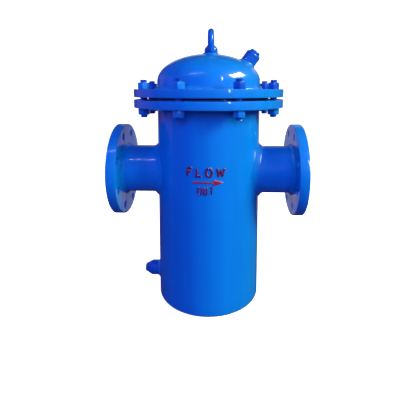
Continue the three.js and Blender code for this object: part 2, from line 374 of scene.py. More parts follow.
def gasket_fibre(name):
    n = Nodes(name)
    fibres = n.noise(260.0, 6.0, 0.7, n.stretched((1.0, 1.0, 4.0)))
    tone = n.mix(fibres, colour(0.006, 0.007, 0.009), colour(0.035, 0.038, 0.042))
    n.link(tone, n.shader.inputs["Base Color"])
    n.link(n.ramp(fibres, 0.3, 0.7, 0.65, 0.9), n.shader.inputs["Roughness"])
    n.link(n.bump(fibres, 0.6, 0.0005), n.shader.inputs["Normal"])
    return n.material


def marking_paint(name, shade, light):
    """Dark red brush paint over weld metal."""
    n = Nodes(name)
    patches = n.ramp(n.noise(140.0, 4.0), 0.40, 0.62)
    tone = n.mix(patches, shade, light)
    bare = n.times(n.edges(0.52, 0.60), n.ramp(n.noise(300.0, 3.0), 0.45, 0.60, 0.0, 0.5))
    tone = n.mix(bare, tone, colour(0.05, 0.06, 0.40))
    n.link(tone, n.shader.inputs["Base Color"])
    n.link(n.ramp(n.noise(80.0, 3.0), 0.3, 0.7, 0.28, 0.5), n.shader.inputs["Roughness"])
    n.link(n.bump(n.noise(400.0, 3.0), 0.4, 0.0004), n.shader.inputs["Normal"])
    n.set(Coat_Weight=0.8, Coat_Roughness=0.06)
    return n.material


def plain_stage(name, tone):
    n = Nodes(name)
    grain = n.noise(30.0, 3.0)
    n.link(n.mix(grain, colour(*[c * 0.985 for c in tone]), colour(*tone)), n.shader.inputs["Base Color"])
    n.link(n.ramp(grain, 0.3, 0.7, 0.75, 0.85), n.shader.inputs["Roughness"])
    n.link(n.mix(grain, colour(0.98, 0.98, 0.98), colour(1.0, 1.0, 1.0)), n.shader.inputs["Emission Color"])
    n.set(Specular_IOR_Level=0.1, Emission_Strength=0.97)
    return n.material


DEEP_BLUE, BRIGHT_BLUE = colour(0.0010, 0.168, 0.54), colour(0.0014, 0.210, 0.62)
BLUE = enamel_paint("blue_enamel", DEEP_BLUE, BRIGHT_BLUE)
BLUE_WELD = enamel_paint("blue_enamel_weld", DEEP_BLUE, BRIGHT_BLUE, peel=0.5, edge_wear_and_highlight=0.2)
# Blue enamel dimmed between the plain and the shaded copy: painted shade on the lifting eye and the drain and
# vent fittings.
BLUE_FITTING_SHADED = enamel_paint("blue_enamel_fittings_painted_shade", colour(0.0011, 0.082, 0.40), colour(0.0016, 0.120, 0.52),
                            peel=0.2, edge_wear_and_highlight=0.4)
# Darker copy of the blue enamel: painted shade on the studs and on the upper nuts that sit in shade.
BLUE_SHADED = enamel_paint("blue_enamel_bolting_painted_shade", colour(0.0012, 0.050, 0.34), colour(0.0018, 0.090, 0.48),
                         peel=0.3, edge_wear_and_highlight=0.4)
STAINLESS = steel_wire_drawn("stainless_sheet", colour(0.62, 0.63, 0.64), (1.0, 1.0, 12.0))
STAINLESS_BAR = steel_wire_drawn("stainless_bar", colour(0.66, 0.67, 0.68), (6.0, 1.0, 1.0), (0.2, 0.34))
GASKET = gasket_fibre("gasket_fibre")
RED = marking_paint("marking_red", colour(0.16, 0.005, 0.035), colour(0.42, 0.008, 0.030))
MAROON = marking_paint("marking_maroon", colour(0.018, 0.004, 0.075), colour(0.17, 0.004, 0.030))


def fit(piece, material, body, slot, *nodes):
    """Give a piece its material and its body, and hide the CAD nodes that it stands for. The slot argument is
    not used.
    """
    piece.data.materials.clear()
    piece.data.materials.append(material)
    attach(piece, body)
    if nodes:
        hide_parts(*nodes)
    return piece


def blue(piece, body, *nodes, material=BLUE):
    return fit(piece, material, body, "blue_enamel", *nodes)


def steel(piece, body, *nodes, material=STAINLESS):
    return fit(piece, material, body, "stainless_steel", *nodes)


# ---------------------------------------------------------------- weld beads
def bead(name, body, stations, leg, seed, bulge=1.5, pitch=3.4, uneven=0.06):
    """Closed fillet weld. Each station is a root point and the two directions in which its legs run."""
    rng = random.Random(seed)
    lumps = [(rng.uniform(0, TAU), rng.randint(3, 17)) for _ in range(5)]
    roots = [Vector(s[0]) for s in stations]
    length = sum((a - b).length for a, b in zip(roots, roots[1:] + roots[:1]))
    ripples = max(8, round(length / pitch))
    rings = []
    for i, (root, along, across) in enumerate(stations):
        root, along, across = Vector(root), Vector(along), Vector(across)
        t = i / len(stations)
        slow = sum(math.sin(k * TAU * t + p) for p, k in lumps) / len(lumps)
        saw = (t * ripples) % 1.0
        swell = 1.0 + uneven * (slow + (1 - saw) ** 2 - 0.4)
        ring = []
        for a in np.linspace(0, math.pi / 2, 9):
            reach = along * math.cos(a) ** bulge + across * math.sin(a) ** bulge
            ring.append(tuple(root + reach * leg * swell))
        ring.append(tuple(root - (along + across) * leg * 0.15))
        rings.append(ring)
    piece = make(name, *loft(rings, wrap=True), sharp=75.0)
    return blue(piece, body, material=BLUE_WELD)


def ring_stations(r, z, along, count):
    return [
        ((r * math.cos(a), r * math.sin(a), z), along, (math.cos(a), math.sin(a), 0))
        for a in np.linspace(0, TAU, count, endpoint=False)
    ]


def branch_stations(r, side, z, count):
    """Where a level pipe of radius r meets the shell, on the side that it points to."""
    stations = []
    for a in np.linspace(0, TAU, count, endpoint=False):
        y, rise = r * math.cos(a), r * math.sin(a)
        x = side * math.sqrt(SHELL_R ** 2 - y * y)
        skin = Vector((x, y, 0)).normalized()
        out = Vector((0, math.cos(a), math.sin(a)))
        out = (out - skin * out.dot(skin)).normalized()
        stations.append(((x, y, z + rise), (side, 0, 0), out))
    return stations


def dome_height(x, y):
    return DOME_STRAIGHT_TOP + DOME_RISE * math.sqrt(max(0.0, 1 - (x * x + y * y) / SHELL_R ** 2))


def dome_normal(p):
    rise = (p[2] - DOME_STRAIGHT_TOP) / DOME_RISE ** 2
    return Vector((p[0] / SHELL_R ** 2, p[1] / SHELL_R ** 2, rise)).normalized()


def dome_stations(r, at, axis, count):
    """Where a rod of radius r along `axis` comes out of the dome."""
    axis = Vector(axis)
    u = axis.cross(Vector((0, 1, 0))).normalized()
    v = axis.cross(u)
    stations = []
    for a in np.linspace(0, TAU, count, endpoint=False):
        spoke = u * math.cos(a) + v * math.sin(a)
        start = Vector(at) + spoke * r
        low, high = -30.0, 30.0
        for _ in range(40):
            mid = (low + high) / 2
            p = start + axis * mid
            inside = (p.x ** 2 + p.y ** 2) / SHELL_R ** 2 + ((p.z - DOME_STRAIGHT_TOP) / DOME_RISE) ** 2 < 1
            low, high = (mid, high) if inside else (low, mid)
        p = start + axis * low
        skin = dome_normal(p)
        stations.append((tuple(p), tuple(axis), tuple((spoke - skin * spoke.dot(skin)).normalized())))
    return stations


# ---------------------------------------------------------------- camera
CAMERA = {
    "at": (34.6, -831.7, 505.3),
    "azimuth": 2.38,
    "pitch": 6.43,
    "lens": 30.82,
    "shift": (-0.0215, -0.1787),
}


def camera():
    data = bpy.data.cameras.new("camera")
    data.sensor_fit = "HORIZONTAL"
    data.sensor_width = 36.0
    data.lens = CAMERA["lens"]
    data.shift_x, data.shift_y = CAMERA["shift"]
    data.clip_start = 0.01
    rig = bpy.data.objects.new("camera", data)
    rig.location = Vector(CAMERA["at"]) * MM
    rig.rotation_euler = (math.radians(90 - CAMERA["pitch"]), 0, math.radians(CAMERA["azimuth"]))
    scene.collection.objects.link(rig)
    scene.camera = rig


# ---------------------------------------------------------------- vessel
def vessel_shell():
    inner, corner_r = SHELL_INNER_R, 7.0
    drain_z = joint("drain_plug_turn")["pos_m"][2] / MM
    # Rings of vertices just below and above the bores keep the faces cut by them short.
    bands = [drain_z - 22, drain_z + 22, NOZZLE_Z - 75, NOZZLE_Z + 75]
    outline = [(inner + 1, 0), (SHELL_R - corner_r, 0)]
    outline += arc(SHELL_R - corner_r, corner_r, corner_r, corner_r, -90, 0, 8)[1:]
    outline += [(SHELL_R, z) for z in bands]
    outline += [(SHELL_R, SHELL_TOP - 1), (SHELL_R - 1, SHELL_TOP)]
    outline += [(inner + 1, SHELL_TOP), (inner, SHELL_TOP - 1)]
    outline += [(inner, z) for z in reversed(bands)]
    outline += [(inner, 1)]
    shell = lathe("vessel_shell_skin", outline, 160)
    ports = drill(NOZZLE_INNER_R, (0, 0, NOZZLE_Z), (1, 0, 0), 3 * SHELL_R, 64)
    drain = drill(SOCKET_BORE_R, (-SHELL_R, 0, drain_z), (1, 0, 0), 40, 32)
    carve(shell, [ports, drain])
    return blue(shell, "vessel", "vessel_shell")


def bottom_plate():
    high = corners("bottom_plate")[1]
    r = high.x
    outline = [(0, 0), (r - 1, 0), (r, 1), (r, high.z - 1), (r - 1, high.z), (0, high.z)]
    return blue(lathe("bottom_plate_disc", outline, 128, closed=False), "vessel", "bottom_plate")


def nozzle(node, side):
    stations = []
    for r, along in ((NOZZLE_R, 1), (NOZZLE_INNER_R, -1)):
        reach = np.linspace(0, 1, 7)[::along]
        for t in reach:
            ring = []
            for a in np.linspace(0, TAU, 96, endpoint=False):
                y = r * math.cos(a)
                start = math.sqrt((SHELL_R - 0.5) ** 2 - y * y)
                ring.append((side * (start + (PIPE_END_X - start) * t), y, NOZZLE_Z + r * math.sin(a)))
            stations.append(ring)
    piece = make(node + "_pipe", *loft(stations, wrap=True))
    return blue(piece, "vessel", node)


def grooved_face(outer, inner, z):
    """Concentric sealing grooves of a raised face, from the outer edge inwards."""
    count, depth = 9, 0.22
    points = []
    for k in range(count):
        r = outer - (outer - inner) * (k + 0.5) / count
        half = (outer - inner) / count * 0.3
        points += [(r + half, z), (r, z - depth), (r - half, z)]
    return points


def flange_outline(r, bore, thickness, raised_r):
    top = thickness + RAISED
    outline = fillet([(bore, 0), (r, 0), (r, thickness), (raised_r, thickness)], 1.4, closed=False)
    outline += [(raised_r, top - 0.4), (raised_r - 0.4, top)]
    outline += grooved_face(raised_r - 3, bore + 5, top)
    outline += [(bore + 0.8, top), (bore, top - 0.8)]
    return outline


def flange_cutters(circle_r, phase, thickness):
    cutters = []
    for k in range(8):
        a = math.radians(phase + 45 * k)
        at = (circle_r * math.cos(a), circle_r * math.sin(a), thickness / 2)
        cutters.append(drill(BOLT_HOLE_R, at, (0, 0, 1), thickness + 10, 36))
    return cutters


def pipe_flange(node, side):
    low, high = corners(node)
    thickness = high.x - low.x - RAISED
    outline = flange_outline(FLANGE_R, NOZZLE_R + FIT, thickness, PIPE_RAISED_R)
    piece = lathe(node + "_disc", outline, 144)
    carve(piece, flange_cutters(PIPE_CIRCLE_R, 22.5, thickness), bevel=0.9)
    back = low.x if side > 0 else high.x
    aim(piece, (back, 0, NOZZLE_Z), (side, 0, 0))
    return blue(piece, "vessel", node)


def cover_joint_flange(node, body, flip):
    low, high = corners(node)
    thickness = high.z - low.z - RAISED
    outline = flange_outline(COVER_R, SHELL_R + FIT, thickness, COVER_RAISED_R)
    piece = lathe(node + "_ring", outline, 160)
    stud_x, stud_y = node_centre("stud_1")
    circle_r = math.hypot(stud_x, stud_y)
    phase = math.degrees(math.atan2(stud_y, stud_x)) * (-1 if flip else 1)
    carve(piece, flange_cutters(circle_r, phase, thickness), bevel=0.9)
    if flip:
        piece.data.transform(Matrix.Rotation(math.pi, 4, "X"))
    piece.data.transform(Matrix.Translation(Vector((0, 0, high.z if flip else low.z)) * MM))
    return blue(piece, body, node)


def gasket():
    low, high = corners("cover_gasket")
    outer, inner = high.x, GASKET_INNER_R
    rng = random.Random(5)
    outline = [(inner, low.z), (outer - 0.3, low.z), (outer, low.z + 0.6), (outer, high.z - 0.6),
               (outer - 0.3, high.z), (inner, high.z)]
    piece = lathe("cover_gasket_ring", outline, 144)
    for v in piece.data.vertices:
        if v.co.to_2d().length > (outer - 2) * MM:
            v.co.xy *= 1 - rng.random() * 0.0012
    return fit(piece, GASKET, "vessel", "gasket_fibre", "cover_gasket")


# ---------------------------------------------------------------- cover
def cover_dome():
    inner, low = SHELL_INNER_R, corners("cover_dome")[0]
    inner_rise = DOME_RISE - SHELL_WALL
    outline = [(0, DOME_STRAIGHT_TOP + inner_rise)]
    outline += arc(0, DOME_STRAIGHT_TOP, inner, inner_rise, 90, 0, 24)[1:]
    outline += [(inner, low.z + 1), (inner + 1, low.z), (SHELL_R - 1, low.z), (SHELL_R, low.z + 1)]
    outline += arc(0, DOME_STRAIGHT_TOP, SHELL_R, DOME_RISE, 0, 90, 40)[:-1]
    outline += [(0, DOME_TOP)]
    return blue(lathe("cover_dome_head", outline, 144, closed=False), "cover", "cover_dome")


def lifting_eye():
    low, high = corners("lifting_eye_bolt")
    pad_low, pad_high = corners("lifting_pad")
    x = node_centre("lifting_eye_bolt")[0]
    base = pad_high.z + FIT
    ring_r = (high.y - low.y) / 2
    bar_r = 7.2
    ring_z = high.z - ring_r
    eye = lathe("eye", [(ring_r - bar_r + bar_r * math.cos(a), bar_r * math.sin(a))
                        for a in np.linspace(0, TAU, 24, endpoint=False)], 72)
    aim(eye, (x, 0, ring_z), (1, 0, 0))
    collar_r = (high.x - low.x) / 2
    collar = lathe("collar", [(0, base), (collar_r - 1.5, base), (collar_r, base + 1.5), (collar_r, base + 7)]
                   + arc(collar_r - 5, base + 7, 5, 7, 0, 75, 6)
                   + [(9.2, base + 18), (0, base + 20)], 64, closed=False, shift=(x, 0))
    block = make("block", *box_mesh((x - 40, -60, base - 40), (x + 40, 60, base)))
    carve(eye, [block])
    join = eye.modifiers.new("join", "BOOLEAN")
    join.operation = "UNION"
    join.solver = "EXACT"
    join.object = collar
    bake(eye)
    bpy.data.objects.remove(collar)
    skin = eye.modifiers.new("skin", "REMESH")
    skin.mode = "VOXEL"
    skin.voxel_size = 0.9 * MM
    soften = eye.modifiers.new("soften", "SMOOTH")
    soften.factor = 0.5
    soften.iterations = 8
    bake(eye, sharp=60)
    eye.name = "lifting_eye_forging"
    blue(eye, "cover", "lifting_eye_bolt", material=BLUE_FITTING_SHADED)
    shank = threaded_rod("lifting_eye_shank", STUD_R, low.z, base + 1, (x, 0), [(low.z, pad_low.z)])
    return blue(shank, "cover")


def lifting_pad():
    low, high = corners("lifting_pad")
    x, r = node_centre("lifting_pad")[0], (high.x - low.x) / 2
    edge = 0.7

    def circle(radius):
        angles = np.linspace(0, TAU, 72, endpoint=False)
        return [(x + radius * math.cos(a), radius * math.sin(a)) for a in angles]

    lower = [(px, py, dome_height(px, py) - 1) for px, py in circle(r)]
    upper = [(*p, high.z - edge) for p in circle(r)]
    rim = [(*p, high.z) for p in circle(r - edge)]
    piece = make("lifting_pad_disc", *loft([[(x, 0, low.z - 2)], lower, upper, rim, [(x, 0, high.z)]]))
    return blue(piece, "cover", "lifting_pad")


# ---------------------------------------------------------------- studs and nuts
def threaded_rod(name, r, low, high, at, threaded, pitch=2.0, depth=1.1):
    """Rod with a real helical thread on the stretches given as (from, to) heights."""
    sides, per_turn = 28, 8
    step = pitch / per_turn
    heights = [low, low + 0.01]
    for start, end in threaded:
        heights += list(np.arange(max(start, low + 0.3), min(end, high - 0.3), step))
    heights += [high - 0.01, high]
    heights = sorted(set(round(h, 4) for h in heights))
    rings = []
    for z in heights:
        on_thread = any(start <= z <= end for start, end in threaded)
        ring = []
        for k in range(sides):
            turn = k / sides
            phase = (z / pitch - turn) % 1.0
            cut = depth * min(1.0, 2.6 * abs(phase - 0.5)) if on_thread else 0.0
            end_gap = min(z - low, high - z)
            lead = max(0.0, 1.2 - end_gap)
            radius = max(r - cut - lead, r * 0.6)
            ring.append((at[0] + radius * math.cos(TAU * turn), at[1] + radius * math.sin(TAU * turn), z))
        rings.append(ring)
    rings = [[(*at, low)], *rings, [(*at, high)]]
    return make(name, *loft(rings), sharp=40.0)


def hex_nut(name, low, high, at, turn=0.0):
    """Chamfered hexagon nut: the chamfer cone cuts each flat in a curve."""
    half, bore = NUT_FLATS / 2, NUT_BORE_R
    trim = half * 0.95
    slope = math.tan(math.radians(30))
    angles = [5.0 * k for k in range(72)]
    bevel = 0.035
    outer = []
    for deg in angles:
        off = math.radians((deg % 60) - 30)
        outer.append(half / math.cos(off) * (1 - bevel * max(0.0, (abs(math.degrees(off)) - 26) / 4)))

    def ring(radii, z):
        turned = [math.radians(d) + turn for d in angles]
        return [(at[0] + r * math.cos(a), at[1] + r * math.sin(a), h) for a, r, h in zip(turned, radii, z)]

    count = len(angles)
    drop = [max(0.0, (r - trim) * slope) for r in outer]
    rings = [
        ring([bore] * count, [low + 1.2] * count),
        ring([bore + 1.0] * count, [low] * count),
        ring([trim] * count, [low] * count),
        ring(outer, [low + d for d in drop]),
        ring(outer, [high - d for d in drop]),
        ring([trim] * count, [high] * count),
        ring([bore + 1.0] * count, [high] * count),
        ring([bore] * count, [high - 1.2] * count),
    ]
    piece = make(name, *loft(rings, wrap=True), sharp=24.0)
    edge = piece.modifiers.new("edge", "BEVEL")
    edge.width = 0.35 * MM
    edge.segments = 2
    edge.limit_method = "ANGLE"
    edge.angle_limit = math.radians(24)
    return bake(piece, sharp=50.0)


def cover_bolting():
    rng = random.Random(11)
    for k in range(1, 9):
        low, high = corners(f"stud_{k}")
        at = node_centre(f"stud_{k}")
        lower_low, lower_high = corners(f"lower_nut_{k}")
        upper_low, upper_high = corners(f"upper_nut_{k}")
        threaded = [(low.z, lower_low.z + 2), (upper_high.z - 2, high.z)]
        stud = threaded_rod(f"stud_{k}_thread", STUD_R, low.z, high.z, at, threaded)
        blue(stud, "vessel", f"stud_{k}", material=BLUE_SHADED)
        for node, body, a, b in ((f"lower_nut_{k}", "vessel", lower_low, lower_high),
                                 (f"upper_nut_{k}", "cover_nuts", upper_low, upper_high)):
            nut = hex_nut(node + "_hexagon", a.z, b.z, at, math.radians(rng.uniform(20, 40)))
            # Lower nuts and upper nuts 5 and 6 catch the light and keep the plain blue; the other upper nuts
            # get the darker copy as painted shade.
            blue(nut, body, node, material=BLUE if body == "vessel" or k in (5, 6) else BLUE_SHADED)


def eye_nut():
    low, high = corners("eye_bolt_nut")
    nut = hex_nut("eye_bolt_nut_hexagon", low.z, high.z, node_centre("eye_bolt_nut"))
    return steel(nut, "cover", "eye_bolt_nut", material=STAINLESS_BAR)


# ---------------------------------------------------------------- drain and vent
SOCKET_R, SOCKET_LENGTH = 18.0, 28.5
WASHER_R, WASHER_THICKNESS = 13.6, 1.5
PLUG_FLATS, PLUG_THREAD_R, PLUG_PITCH, PLUG_SHANK = 22.0, 10.5, 1.814, 17.0
DRAIN = {"shoulder": 21.0, "tip_r": 14.2, "head": 7.4, "crown_r": 8.5}
VENT = {"shoulder": 26.0, "tip_r": 15.6, "head": 4.6, "crown_r": 10.8}


def plug_head(name, low, height, crown_r):
    """Hexagon head whose corners run into a rounded crown."""
    outer_r = PLUG_FLATS / math.sqrt(3)
    angles = np.radians(np.linspace(0, 360, 72, endpoint=False))
    crown = [(outer_r, 0.0), (outer_r, 1.5)]
    for t in np.linspace(0.1, 1, 8):
        crown.append((outer_r + (crown_r - outer_r) * t ** 1.25, 1.5 + (height - 1.5) * t))
    rings = [[(0, 0, low)]]
    for r, rise in crown:
        ring = []
        for a in angles:
            flat = PLUG_FLATS / 2 / math.cos((a % (TAU / 6)) - TAU / 12)
            reach = min(r, flat)
            ring.append((reach * math.cos(a), reach * math.sin(a), low + rise))
        rings.append(ring)
    inner = [(x * 0.8, y * 0.8, low + height) for x, y, _ in rings[-1]]
    rings += [inner, [(0, 0, low + height)]]
    return make(name, *loft(rings), sharp=26.0)


def fitting(prefix, parent, shape, at, axis):
    """Welded socket with its sealing washer and screwed plug."""
    outline = [(SOCKET_BORE_R, -0.3), (SOCKET_R, -0.3)]
    outline += fillet([(SOCKET_R, 0), (SOCKET_R, shape["shoulder"]), (shape["tip_r"], SOCKET_LENGTH),
                       (SOCKET_BORE_R, SOCKET_LENGTH)], 3.0, 5, closed=False)
    socket = aim(lathe(prefix + "_socket_tube", outline, 72), at, axis)
    blue(socket, parent, prefix + "_socket", material=BLUE_FITTING_SHADED)
    top = SOCKET_LENGTH + FIT
    washer = lathe(prefix + "_washer_ring", fillet([
        (SOCKET_BORE_R, top), (WASHER_R, top), (WASHER_R, top + WASHER_THICKNESS),
        (SOCKET_BORE_R, top + WASHER_THICKNESS)], 0.4), 64)
    blue(aim(washer, at, axis), prefix + "_seal", prefix + "_washer", material=BLUE_FITTING_SHADED)
    start = top + WASHER_THICKNESS + FIT
    head = plug_head(prefix + "_plug_head", start, shape["head"], shape["crown_r"])
    blue(aim(head, at, axis), prefix + "_screw", prefix + "_plug", material=BLUE_FITTING_SHADED)
    tip = start - PLUG_SHANK
    core = threaded_rod(prefix + "_plug_thread", PLUG_THREAD_R, tip, start + 1, (0, 0), [(tip, start - 3)],
                        pitch=PLUG_PITCH, depth=0.9)
    blue(aim(core, at, axis), prefix + "_screw")


def fitting_place(name):
    data = joint(name)
    at = Vector(data["pos_m"]) / MM
    return at, Vector(data["axis"])


# ---------------------------------------------------------------- basket
SCREEN_WALL = 2.0
SEAT_TILT = math.radians(30)
SEAT_SLOPE = math.tan(SEAT_TILT)
SEAT_THICKNESS, RIM_THICKNESS = 6.0, 5.0


def slanted_ring(name, inner, outer, low, high):
    """Flat ring seen round from above, cut from a plate that rises towards the outlet."""
    outline = fillet([(inner, low), (outer, low), (outer, high), (inner, high)], 1.0)
    piece = lathe(name, outline, 128)
    for v in piece.data.vertices:
        v.co.z += SEAT_SLOPE * v.co.x
    return piece


def seat_heights():
    """Heights at the axis of the seat's and the rim's lower and upper faces."""
    upright = math.cos(SEAT_TILT)
    half = SEAT_THICKNESS / 2 / upright
    rim_low = NOZZLE_Z + (SEAT_THICKNESS / 2 + FIT) / upright
    return NOZZLE_Z - half, NOZZLE_Z + half, rim_low, rim_low + RIM_THICKNESS / upright


def basket_screen():
    """Perforated tube with real holes in square cells, closed on its slanted top."""
    low, high = corners("basket_screen")
    outer = high.x
    inner = outer - SCREEN_WALL
    top = seat_heights()[3]
    columns, hole_points = 64, 8
    pitch = TAU * outer / columns
    hole_r, margin = 2.7, 12.0
    points, faces = [], []
    index = {}

    def vertex(u, z, layer):
        key = (round(u % columns, 5), round(z, 4), layer)
        if key not in index:
            a = TAU * u / columns
            r = outer if layer else inner
            index[key] = len(points)
            points.append((r * math.cos(a), r * math.sin(a), z))
        return index[key]

    def top_at(u):
        return top + SEAT_SLOPE * outer * math.cos(TAU * u / columns)

    base = low.z + 8.0
    rows = [int((min(top_at(c), top_at(c + 1)) - margin - base) // pitch) for c in range(columns)]
    for c in range(columns):
        left, right = rows[c - 1], rows[(c + 1) % columns]
        for layer in (0, 1):
            faces.append([vertex(c, low.z, layer), vertex(c + 1, low.z, layer),
                          vertex(c + 1, base, layer), vertex(c, base, layer)])
            edge = [vertex(c, base + pitch * k, layer) for k in range(max(rows[c], left), rows[c], -1)]
            rise = [vertex(c + 1, base + pitch * k, layer) for k in range(rows[c], max(rows[c], right) + 1)]
            cap = [vertex(c + 1, top_at(c + 1), layer), vertex(c, top_at(c), layer)]
            faces.append([vertex(c, base + pitch * rows[c], layer)] + rise + cap + edge)
        for k in range(rows[c]):
            z0 = base + pitch * k
            rims = []
            for layer in (0, 1):
                cell, rim = [], []
                for i in range(hole_points):
                    a = TAU * i / hole_points
                    dx, dz = math.cos(a), math.sin(a)
                    stretch = 0.5 / max(abs(dx), abs(dz))
                    cell.append(vertex(c + 0.5 + dx * stretch, z0 + pitch * (0.5 + dz * stretch), layer))
                    rim.append(vertex(c + 0.5 + dx * hole_r / pitch, z0 + pitch / 2 + dz * hole_r, layer))
                for i in range(hole_points):
                    j = (i + 1) % hole_points
                    faces.append([cell[i], cell[j], rim[j], rim[i]])
                rims.append(rim)
            for i in range(hole_points):
                j = (i + 1) % hole_points
                faces.append([rims[0][i], rims[0][j], rims[1][j], rims[1][i]])
        faces.append([vertex(c, low.z, 0), vertex(c + 1, low.z, 0),
                      vertex(c + 1, low.z, 1), vertex(c, low.z, 1)])
        faces.append([vertex(c, top_at(c), 0), vertex(c + 1, top_at(c + 1), 0),
                      vertex(c + 1, top_at(c + 1), 1), vertex(c, top_at(c), 1)])
    piece = make("basket_screen_sheet", points, faces, sharp=40.0)
    return steel(piece, "basket", "basket_screen")


def basket():
    seat_low, seat_high, rim_low, rim_high = seat_heights()
    seat_r, rim_r = corners("basket_seat")[1].y, corners("basket_rim")[1].y
    screen_r = corners("basket_screen")[1].x
    seat = slanted_ring("basket_seat_plate", screen_r + 1.5, seat_r, seat_low, seat_high)
    blue(seat, "vessel", "basket_seat")
    rim = slanted_ring("basket_rim_plate", screen_r + FIT, rim_r, rim_low, rim_high)
    steel(rim, "basket", "basket_rim")
    basket_screen()
    low, high = corners("basket_base")
    r = high.x
    outline = [(0, low.z), (r - 1.2, low.z), (r, low.z + 1.2), (r, high.z), (0, high.z)]
    plate = lathe("basket_base_disc", outline, 128, closed=False)
    steel(plate, "basket", "basket_base")


def basket_ear(node):
    low, high = corners(node)
    pivot = joint("basket_bail_swing")["pos_m"][2] / MM
    top, half = high.z, (high.x - low.x) / 2
    corner_r, pin_hole_r = 8, 4.8
    rim_top = seat_heights()[3] + FIT / math.cos(SEAT_TILT)
    outline = [(-half, rim_top - SEAT_SLOPE * half), (half, rim_top + SEAT_SLOPE * half),
               (half, top - corner_r)]
    outline += arc(half - corner_r, top - corner_r, corner_r, corner_r, 0, 90, 6)[1:]
    outline += arc(-half + corner_r, top - corner_r, corner_r, corner_r, 90, 180, 6)
    sides = [[(x, y, z) for x, z in outline] for y in (low.y, high.y)]
    count = len(outline)
    points = sides[0] + sides[1]
    faces = [list(range(count)), list(range(count, 2 * count))]
    faces += [[i, (i + 1) % count, count + (i + 1) % count, count + i] for i in range(count)]
    piece = make(node + "_plate", points, faces)
    hole = drill(pin_hole_r, (0, (low.y + high.y) / 2, pivot), (0, 1, 0), 20, 32)
    carve(piece, [hole], bevel=0.4)
    return steel(piece, "basket", node)


def basket_bail():
    pivot = joint("basket_bail_swing")["pos_m"][2] / MM
    drop = math.radians(32.5)
    pin_end = corners("basket_handle")[1].y
    half_width, reach, bar_r = 95.5, 106.0, 3.98
    loop = [(reach * math.sin(a), half_width * math.cos(a)) for a in np.radians(np.linspace(10, 170, 60))]
    (end_x, end_y), start_y, knee_y = loop[0], half_width + 3.3, half_width + 0.7
    bend = [(end_x * t * t, start_y * (1 - t) ** 2 + knee_y * 2 * t * (1 - t) + end_y * t * t)
            for t in np.linspace(0, 0.9, 10)]
    half = [(0, pin_end - 1), *bend]
    flat = half + loop + [(x, -y) for x, y in reversed(half)]
    path = [(-p * math.cos(drop), y, pivot - p * math.sin(drop)) for p, y in flat]
    piece = sweep("basket_bail_bar", path, [bar_r] * len(path), 20)
    return steel(piece, "basket_bail", "basket_handle", material=STAINLESS_BAR)


# ---------------------------------------------------------------- raised marking
def on_shell(x, z, lift=0.0):
    a = x / SHELL_R
    r = SHELL_R + lift
    return (r * math.sin(a), -r * math.cos(a), z)


def stroke(name, points, width, seed):
    """Weld-bead stroke laid on the shell through (x, z) points, with an uneven, rippled top."""
    rng = random.Random(seed)
    path = []
    for (x0, z0), (x1, z1) in zip(points, points[1:]):
        length = math.hypot(x1 - x0, z1 - z0)
        steps = max(2, round(length / 0.6))
        path += [(x0 + (x1 - x0) * k / steps, z0 + (z1 - z0) * k / steps) for k in range(steps)]
    path.append(points[-1])
    count = len(path)
    phase = rng.uniform(0, TAU)
    centres, radii = [], []
    for i, (x, z) in enumerate(path):
        wander = 0.25 * math.sin(i * 0.22 + phase)
        end = min(i, count - 1 - i) / 3.0
        round_end = math.sqrt(max(0.12, 1 - max(0.0, 1 - end) ** 2))
        ripple = 1 + 0.07 * math.sin(i * 1.6 + phase) + 0.06 * math.sin(i * 0.37 + phase)
        radii.append(width / 2 * round_end * ripple)
        centres.append(on_shell(x + wander, z + wander * 0.6, -0.2))
    return sweep(name, centres, radii, 14)


def join_pieces(name, pieces):
    mesh = bmesh.new()
    for piece in pieces:
        mesh.from_mesh(piece.data)
        bpy.data.objects.remove(piece)
    joined = bpy.data.meshes.new(name)
    mesh.to_mesh(joined)
    mesh.free()
    joined.shade_smooth()
    joined.set_sharp_from_angle(angle=math.radians(60))
    result = bpy.data.objects.new(name, joined)
    scene.collection.objects.link(result)
    return result


def curve_points(cx, cy, rx, ry, start, end, steps=12):
    return [(float(x), float(y)) for x, y in arc(cx, cy, rx, ry, start, end, steps)]


LETTERS = {
    "F": [[(0, 0), (0, 1)], [(0, 1), (0.62, 1)], [(0, 0.54), (0.5, 0.54)]],
    "L": [[(0, 1), (0, 0), (0.6, 0)]],
    "O": [curve_points(0.36, 0.5, 0.36, 0.5, 90, 450, 20)],
    "W": [[(0, 1), (0.22, 0), (0.45, 0.72), (0.68, 0), (0.9, 1)]],
    "U": [[(0, 1), (0, 0.3)] + curve_points(0.31, 0.3, 0.31, 0.3, 180, 360) + [(0.62, 1)]],
    "T": [[(0, 1), (0.8, 1)], [(0.4, 1), (0.4, 0)]],
}
ADVANCE = {"F": 0.62, "L": 0.6, "O": 0.72, "W": 0.9, "U": 0.62, "T": 0.8}


def word(name, text, left, right, bottom, top, width, seed, narrow=1.0):
    """Hand-laid word between two heights, spread from left to right."""
    height = top - bottom
    natural = sum(ADVANCE[c] for c in text) * height * narrow
    gap = (right - left - natural) / (len(text) - 1)
    rng = random.Random(seed)
    pieces, x = [], left
    for k, letter in enumerate(text):
        lean, rise = rng.uniform(-0.03, 0.05), rng.uniform(-0.8, 0.8)
        for s, line in enumerate(LETTERS[letter]):
            points = [(x + (px * narrow + lean * py) * height, bottom + rise + py * height)
                      for px, py in line]
            pieces.append(stroke(f"{name}_{k}_{s}", points, width, seed + 10 * k + s))
        x += ADVANCE[letter] * height * narrow + gap
    piece = join_pieces(name, pieces)
    return fit(piece, MAROON, "vessel", "marking_red")


